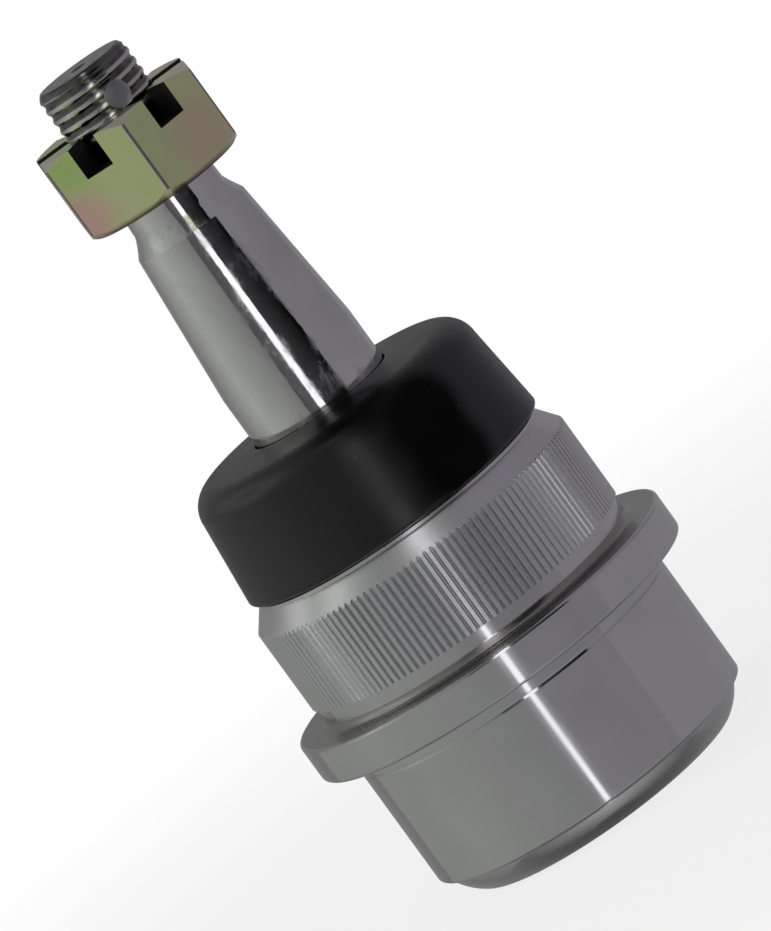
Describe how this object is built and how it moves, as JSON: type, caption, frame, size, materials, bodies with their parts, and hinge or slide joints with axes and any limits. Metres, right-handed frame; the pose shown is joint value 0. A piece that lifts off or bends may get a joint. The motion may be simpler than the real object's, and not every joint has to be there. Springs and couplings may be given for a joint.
{
  "type": "suspension ball joint",
  "caption": "Press-in suspension ball joint: flanged steel housing with serrated band, swinging tapered stud, castellated nut and rubber dust boot.",
  "frame": {"origin": "centre of the base: the plane of the housing's rolled lower edge, on the stud's axis", "axes": "+Z along the stud towards its threaded tip; -Y towards the picture's camera; +X to the right"},
  "size_m": [0.0658, 0.0658, 0.1364],
  "materials": {
    "housing_steel": "turned, dull",
    "polished_steel": "polished",
    "plated_nut": "yellow zinc passivate",
    "boot_rubber": "satin",
    "bearing_steel": "ground",
    "spring_steel": "dark",
    "seat_plastic": "matte",
    "cover_steel": "zinc plated",
    "ring_steel": "plain"
  },
  "bodies": {
    "housing": {"housing": "housing_steel", "upper_race": "bearing_steel", "lower_seat": "bearing_steel", "preload_washer_1": "spring_steel", "preload_washer_2": "spring_steel", "preload_washer_3": "spring_steel", "cover_plate": "cover_steel", "grease_plug": "cover_steel", "boot_base_ring": "ring_steel"},
    "boot": {"dust_boot": "boot_rubber"},
    "boot_ring": {"boot_top_ring": "seat_plastic"},
    "stud": {"ball_stud": "polished_steel"},
    "nut": {"castle_nut": "plated_nut"}
  },
  "joints": [
    {"name": "swing_x", "type": "hinge", "parent": "housing", "child": "boot", "pos_m": [0, 0, 0.035], "axis": [1, 0, 0], "range_deg": [-18, 18], "deforming": ["dust_boot"]},
    {"name": "swing_y", "type": "hinge", "parent": "boot", "child": "boot_ring", "pos_m": [0, 0, 0.035], "axis": [0, 1, 0], "range_deg": [-18, 18]},
    {"name": "stud_spin", "type": "hinge", "parent": "boot_ring", "child": "stud", "pos_m": [0, 0, 0.035], "axis": [0, 0, 1], "continuous": true},
    {"name": "nut_turn", "type": "hinge", "parent": "stud", "child": "nut", "pos_m": [0, 0, 0.12], "axis": [0, 0, 1], "range_deg": [-30, 30]}
  ]
}
